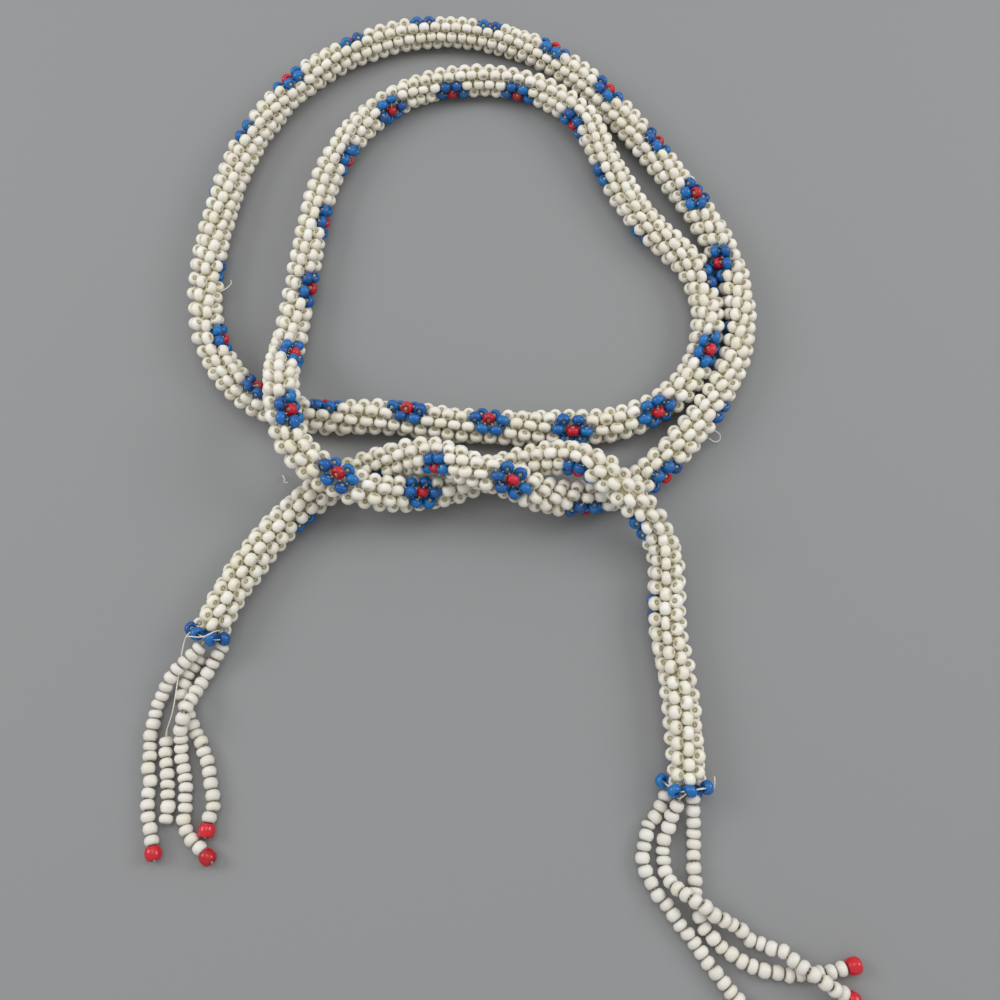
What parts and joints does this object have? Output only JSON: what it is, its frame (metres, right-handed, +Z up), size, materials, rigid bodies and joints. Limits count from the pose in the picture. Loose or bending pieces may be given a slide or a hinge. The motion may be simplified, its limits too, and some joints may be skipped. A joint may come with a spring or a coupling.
{
  "type": "beaded belt",
  "caption": "Belt of white bead-crochet rope with blue flowers, tied into two loops lying flat, with blue end rings and beaded fringe with red tips.",
  "frame": {"origin": "middle of the footprint on the surface that the belt lies on", "axes": "+Z up from the surface, +Y from the fringe towards the far side of the loops, +X to the right as seen from the fringe"},
  "size_m": [0.1374, 0.2354, 0.0183],
  "materials": {
    "white_beads": "opaque ivory glass, softly glossy",
    "blue_beads": "opaque blue glass, glossy",
    "red_beads": "opaque red glass, glossy"
  },
  "bodies": {
    "root": {"rope_outer_turn": "white_beads", "rope_inner_turn": "white_beads", "left_end_ring": "blue_beads", "right_end_ring": "blue_beads", "left_strand_1": "white_beads", "left_strand_2": "white_beads", "left_strand_3": "white_beads", "left_strand_4": "white_beads", "right_strand_1": "white_beads", "right_strand_2": "white_beads", "right_strand_3": "white_beads", "left_tip_bead_1": "red_beads", "left_tip_bead_2": "red_beads", "left_tip_bead_3": "red_beads", "right_tip_bead_1": "red_beads", "right_tip_bead_2": "red_beads", "right_tip_bead_3": "red_beads"}
  },
  "joints": []
}
